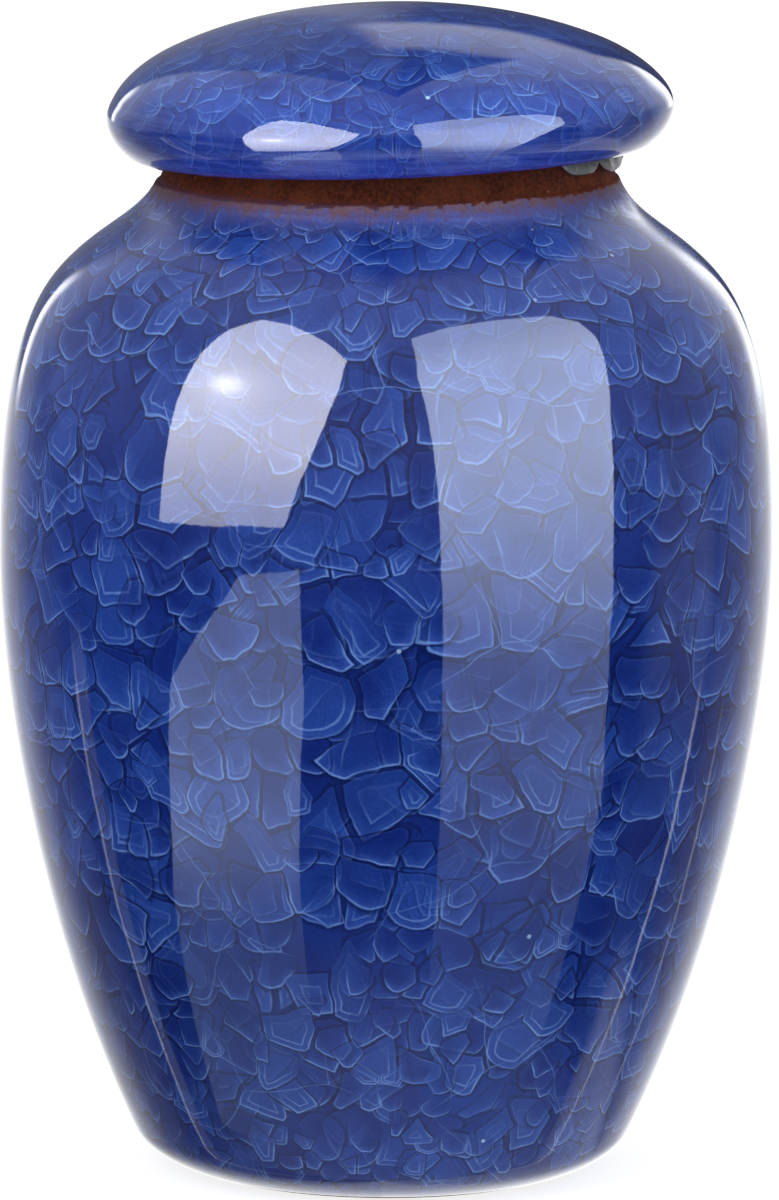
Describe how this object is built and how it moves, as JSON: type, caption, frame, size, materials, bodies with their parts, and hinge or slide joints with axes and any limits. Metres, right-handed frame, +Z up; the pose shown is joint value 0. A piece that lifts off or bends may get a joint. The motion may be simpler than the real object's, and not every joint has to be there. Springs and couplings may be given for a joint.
{
  "type": "funeral urn",
  "caption": "Tapered, broad-shouldered stoneware jar in crackled blue glaze with a domed lift-off lid and a soft seal, for keeping ashes.",
  "frame": {"origin": "centre of the foot, on the plane the urn stands on", "axes": "+Z up along the axis of the body; the front, from which the urn is usually seen, faces -Y; the raised side of the lid is towards +X"},
  "size_m": [0.1704, 0.1704, 0.2573],
  "materials": {
    "body_glaze": "thick glossy blue glaze, crackled all over in pale overlapping scales; bare brown clay on the neck above the glaze edge and under the foot",
    "lid_glaze": "glossy blue glaze, greyer and smoother on the dome, deeper blue under the rolled rim; bare brown clay underneath",
    "seal_silicone": "translucent grey-white silicone, smooth, half matte"
  },
  "bodies": {
    "root": {"urn_body": "body_glaze", "lid": "lid_glaze", "seal_ring": "seal_silicone"}
  },
  "joints": []
}
